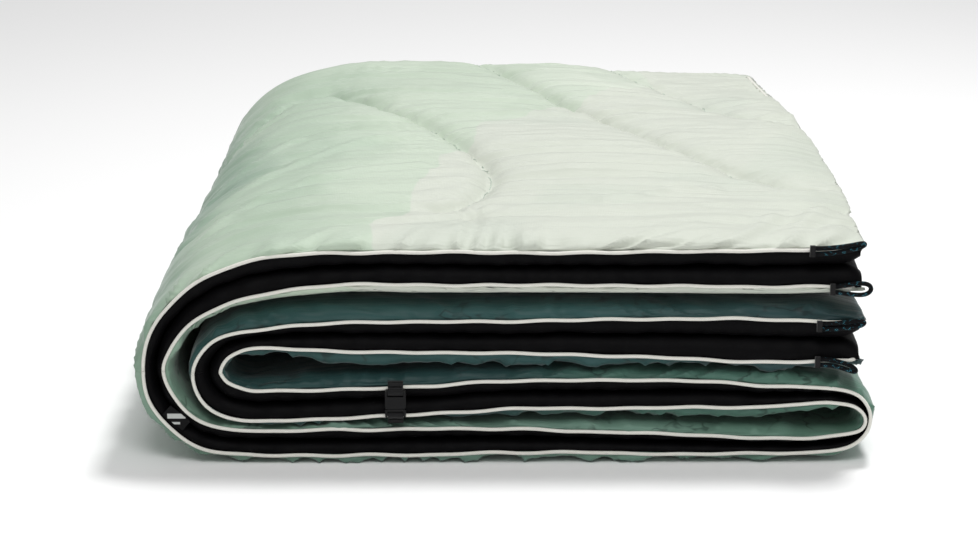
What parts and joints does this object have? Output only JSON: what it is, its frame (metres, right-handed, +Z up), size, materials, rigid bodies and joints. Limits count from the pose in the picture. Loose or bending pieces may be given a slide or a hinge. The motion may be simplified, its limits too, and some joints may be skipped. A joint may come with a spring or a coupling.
{
  "type": "quilted travel blanket",
  "caption": "Quilted, insulated travel blanket folded into a stack, with piped edge, corner cord loops and a small side-release clip.",
  "frame": {"origin": "centre of the footprint at the underside", "axes": "+X to the right along the stack, +Y from the open piped edges to the back fold, +Z up"},
  "size_m": [0.4885, 0.669, 0.1532],
  "materials": {
    "shell_print": "semi-matt printed ripstop nylon",
    "batting": "matt polyester fill",
    "lining": "matt black nylon",
    "piping": "matt woven piping",
    "cord": "braided cord with flecks",
    "thread": "satin stitched thread",
    "clip_plastic": "moulded, fine texture",
    "webbing": "woven nylon webbing",
    "label": "woven label, plain"
  },
  "bodies": {
    "base": {"shell_base": "shell_print", "batting_base": "batting", "lining_base": "lining", "piping_base_outer": "piping", "piping_base_inner": "piping", "clip_female": "clip_plastic", "webbing_upper": "webbing", "webbing_tack_upper": "thread", "woven_label": "label"},
    "top_flap": {"shell_top_flap": "shell_print", "batting_top_flap": "batting", "lining_top_flap": "lining", "piping_top_flap": "piping", "corner_loop_a": "cord", "corner_loop_b": "cord", "loop_tack_a": "thread", "loop_tack_b": "thread"},
    "inner_flap": {"shell_inner_flap": "shell_print", "batting_inner_flap": "batting", "lining_inner_flap": "lining", "piping_inner_flap": "piping", "corner_loop_c": "cord", "corner_loop_d": "cord", "loop_tack_c": "thread", "loop_tack_d": "thread"},
    "clip_male": {"clip_male": "clip_plastic", "webbing_lower": "webbing", "webbing_tack_lower": "thread"},
    "prong_left": {"prong_left": "clip_plastic"},
    "prong_right": {"prong_right": "clip_plastic"}
  },
  "joints": [
    {"name": "top_fold_hinge", "type": "hinge", "parent": "base", "child": "top_flap", "pos_m": [-0.14, 0, 0.1532], "axis": [0, -1, 0], "range_deg": [0, 110]},
    {"name": "inner_fold_hinge", "type": "hinge", "parent": "base", "child": "inner_flap", "pos_m": [-0.115, 0, 0.1102], "axis": [0, -1, 0], "range_deg": [0, 33]},
    {"name": "clip_release", "type": "slide", "parent": "base", "child": "clip_male", "axis": [0, 0, -1], "range_m": [0, 0.0095]},
    {"name": "prong_left_squeeze", "type": "hinge", "parent": "clip_male", "child": "prong_left", "pos_m": [-0.078, -0.3314, 0.04], "axis": [0, 1, 0], "range_deg": [0, 7], "stiffness_Nm_per_rad": 0.01},
    {"name": "prong_right_squeeze", "type": "hinge", "parent": "clip_male", "child": "prong_right", "pos_m": [-0.0694, -0.3314, 0.04], "axis": [0, -1, 0], "range_deg": [0, 7], "stiffness_Nm_per_rad": 0.01}
  ],
  "couplings": [
    {"joint": "inner_fold_hinge", "follows": "top_fold_hinge", "ratio": 0.3}
  ]
}
